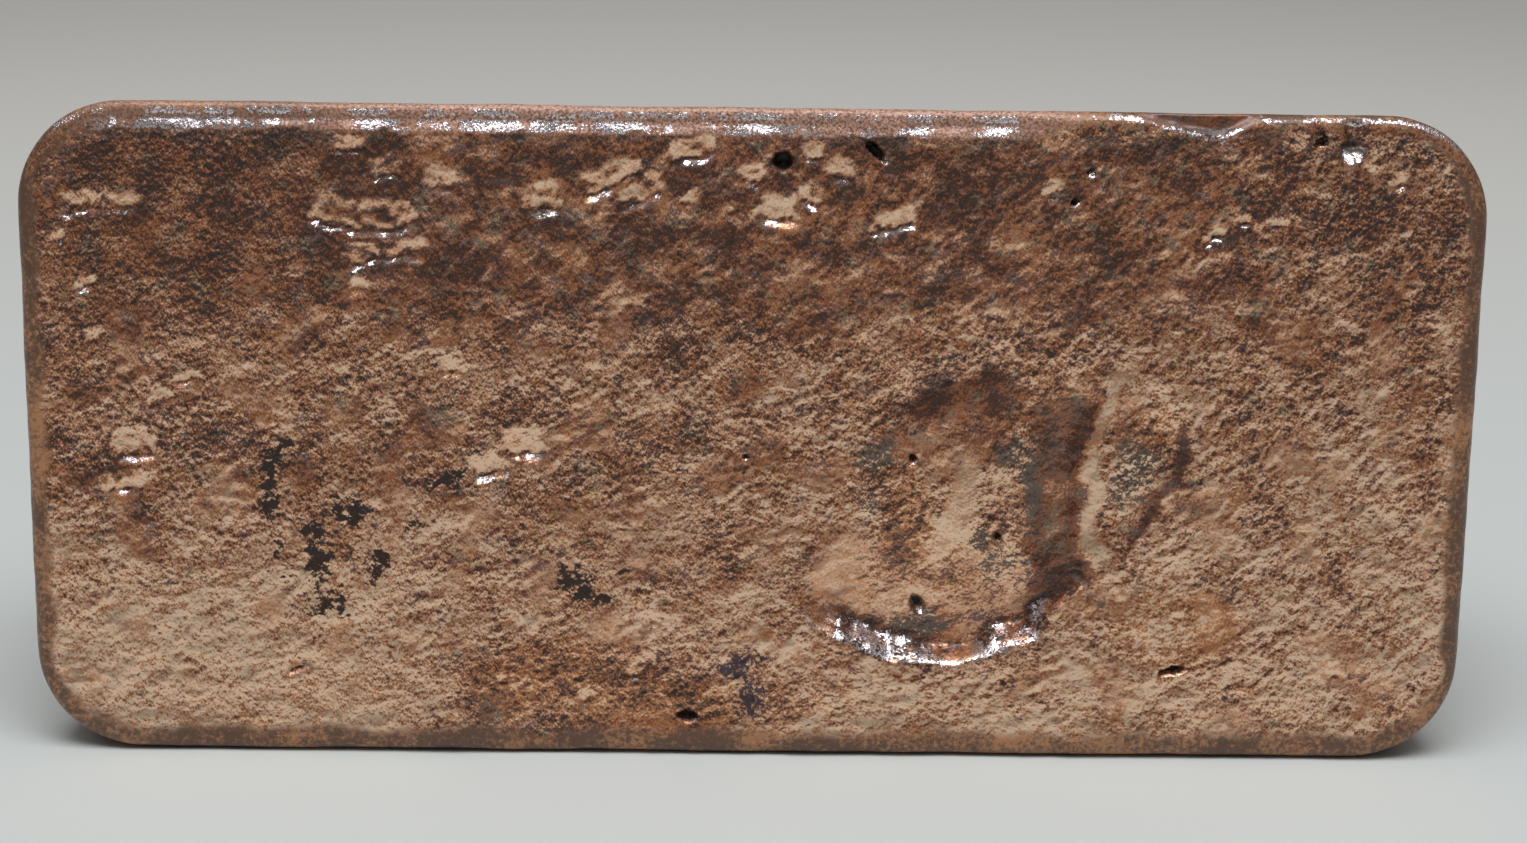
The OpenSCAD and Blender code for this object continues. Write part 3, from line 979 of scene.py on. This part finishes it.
# Share of bare metal, which also carries painted reflection and shade
calm = mask("calm")
mottle = total((fleck, 1.15), (speck, 2.0), (flake_shading, 2.6), (pit_tone, mask("rough")))
spread = combine("MULTIPLY", combine("SUBTRACT", mottle, mottle_middle), ramp(calm, 0, 1, 1.0, 0.3))
share = combine("ADD", mask("bare_and_lit"), spread)

# Patina in patches of several browns, with tan metal showing through
greyed = ramp(combine("ADD", moss, mask("slate")), 0.60, 1.10, 0.0, 0.9)
rusted = ramp(combine("ADD", moss, mask("rusty")), 0.62, 0.95, 0.0, 0.9)
patina = blend(ramp(cloud, 0.42, 0.60, 0.0, 0.7), brown, rust)
patina = blend(ramp(hue, 0.44, 0.34, 0.0, 0.8), patina, rust)
patina = blend(ramp(hue, 0.54, 0.64, 0.0, 0.9), patina, plum)
patina = blend(ramp(tint, 0.55, 0.66, 0.0, 0.8), patina, grey_green)
patina = blend(greyed, patina, slate)
patina = blend(rusted, patina, rust)
orange = combine("MAXIMUM", ramp(hue, 0.48, 0.36, 0.0, 0.7), rusted)
tan = blend(orange, warm_tan, orange_tan)
colour = blend(ramp(share, 0.0, 0.42), umber, patina)
colour = blend(ramp(total((share, 1.0), (greyed, -0.15)), 0.40, 0.68), colour, tan)
colour = blend(ramp(share, 0.74, 1.04), colour, pale_tan)
metal = ramp(share, 0.35, 0.70, 0.0, 0.92)

# Black crevices and stains, and violet flecks
grains = ramp(speck, 0.36, 0.58, 0.58, 1.1)
stained = total((moss, 0.8), (share, -0.7), (mask("stain"), grains))
black = ramp(stained, 0.31, 0.67, 0.0, 0.92)
colour = blend(black, colour, soot_and_shade)
flecked = total((moss, 1.0), (mask("violet"), 0.36))
colour = blend(ramp(flecked, 0.70, 0.80, 0.0, 0.93), colour, violet)

# Rim in dark browns, painted as shade along the foot, and the top strip, worn and painted as lit
rim = mask("rim")
rim_wear = total((moss, 0.5), (cloud, 0.5))
colour = blend(rim, colour, blend(ramp(rim_wear, 0.45, 0.60), rim_brown, rim_tan))
strip = mask("strip")
colour = blend(strip, colour, blend(ramp(sparkle, 0.38, 0.58), lit_strip_brown, lit_strip_pink))
on_edge = combine("MAXIMUM", rim, strip)
metal = combine("MULTIPLY", metal, ramp(on_edge, 0, 1, 1.0, 0.1))

# Painted glints in silver on the lips, and painted shade in the blow holes
lit = ramp(total((sparkle, 1.0), (mask("painted_glint"), 0.45)), 0.80, 0.92)
colour = blend(lit, colour, glint_silver)
metal = combine("MAXIMUM", metal, lit)
hole_shade = mask("hole_shade")
colour = blend(hole_shade, colour, soot_and_shade)
black_and_hole_shade = combine("MAXIMUM", black, hole_shade)
sheen = combine("ADD", ramp(lit, 0, 1, 0.40, 0.23), combine("MULTIPLY", black, 0.3))

# Fine bumps of the flakes and the grain
flake_height = combine("MULTIPLY", flake, ramp(calm, 0, 1, 1.0, 0.35))
grain_height = combine("MULTIPLY", speck, ramp(on_edge, 0, 1, 0.3, 1.0))
bump = node("ShaderNodeBump", {
    "Height": combine("ADD", flake_height, grain_height), "Strength": 1.0, "Distance": bump_height * MM})
wiring.links.new(colour, shader.inputs["Base Color"])
wiring.links.new(metal, shader.inputs["Metallic"])
wiring.links.new(sheen, shader.inputs["Roughness"])
wiring.links.new(ramp(black_and_hole_shade, 0, 0.9, 0.32, 0.03), shader.inputs["Coat Weight"])
wiring.links.new(bump.outputs["Normal"], shader.inputs["Normal"])
shader.inputs["Coat Roughness"].default_value = coat_roughness
mesh.materials.append(copper)

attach(ingot, "root")
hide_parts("ingot")

# Floor
# A wide pale cloth under the bar, laid flat on the table.
# It is matt, and a little warmer and paler away from the bar.
floor_colour = (0.611, 0.646, 0.637, 1)
far_colour = (0.77, 0.755, 0.71, 1)
floor_half = 4.0
paling_from = 0.08
paling_to = 0.45
floor_roughness = 0.9
floor_corners = [(x * floor_half, y * floor_half, 0) for x, y in ((-1, -1), (1, -1), (1, 1), (-1, 1))]
floor_mesh = bpy.data.meshes.new("floor")
floor_mesh.from_pydata(floor_corners, [], [(0, 1, 2, 3)])
floor = bpy.data.objects.new("floor", floor_mesh)
bpy.context.collection.objects.link(floor)
cloth = bpy.data.materials.new("floor_cloth")
cloth.use_nodes = True
wiring = cloth.node_tree
cloth_shader = wiring.nodes["Principled BSDF"]
cloth_shader.inputs["Roughness"].default_value = floor_roughness
outward = node("ShaderNodeVectorMath", {
    0: node("ShaderNodeTexCoord").outputs["Object"]}, operation="LENGTH").outputs["Value"]
cloth_colour = blend(ramp(outward, paling_from, paling_to), floor_colour, far_colour)
wiring.links.new(cloth_colour, cloth_shader.inputs["Base Color"])
floor_mesh.materials.append(cloth)

# Light
# One wide soft lamp overhead, a little to the front, turned down at the bar.
# The room round it is dim, and lighter towards its ceiling.
lamp_width = 0.5
lamp_depth = 0.32
lamp_watts = 3.0
lamp_place = Vector((0.0, -0.12, 0.62))
lamp_aim = Vector((0, 0, 0.03))
room_dim = 0.07
room_light = 0.6
lamp = bpy.data.lights.new("overhead_lamp", "AREA")
lamp.shape = "RECTANGLE"
lamp.size = lamp_width
lamp.size_y = lamp_depth
lamp.energy = lamp_watts
lamp_object = bpy.data.objects.new("overhead_lamp", lamp)
lamp_object.location = lamp_place
lamp_object.rotation_euler = (lamp_aim - lamp_place).to_track_quat("-Z", "Y").to_euler()
bpy.context.collection.objects.link(lamp_object)
world = bpy.data.worlds.new("dim_room")
world.use_nodes = True
wiring = world.node_tree
room = wiring.nodes["Background"]
room.inputs["Color"].default_value = (1.0, 1.0, 1.0, 1)
climb = node("ShaderNodeSeparateXYZ", {0: node("ShaderNodeTexCoord").outputs["Generated"]}).outputs["Z"]
wiring.links.new(ramp(climb, 0.5, 1.0, room_dim, room_light), room.inputs["Strength"])
bpy.context.scene.world = world
bpy.context.scene.view_settings.view_transform = "Standard"

# Camera
# At the height of someone who leans over the table, close in front of the bar.
# It is aimed a little below the bar's middle and tilted by less than a degree.
camera_place = Vector((-2.03, -227.0, 107.84)) * MM
camera_aim = Vector((1.225, 0.0, 31.88)) * MM
camera_roll = math.radians(0.879)
camera_lens = 52.0
camera_sensor = 36.0
forward = (camera_aim - camera_place).normalized()
level_right = forward.cross(Vector((0, 0, 1))).normalized()
level_up = level_right.cross(forward)
right = math.cos(camera_roll) * level_right + math.sin(camera_roll) * level_up
up = math.cos(camera_roll) * level_up - math.sin(camera_roll) * level_right
camera = bpy.data.cameras.new("camera")
camera.lens = camera_lens
camera.sensor_width = camera_sensor
camera.sensor_fit = "HORIZONTAL"
camera.clip_start = 0.01
camera_object = bpy.data.objects.new("camera", camera)
camera_turn = Matrix((right, up, -forward)).transposed().to_4x4()
camera_object.matrix_world = Matrix.Translation(camera_place) @ camera_turn
bpy.context.collection.objects.link(camera_object)
bpy.context.scene.camera = camera_object
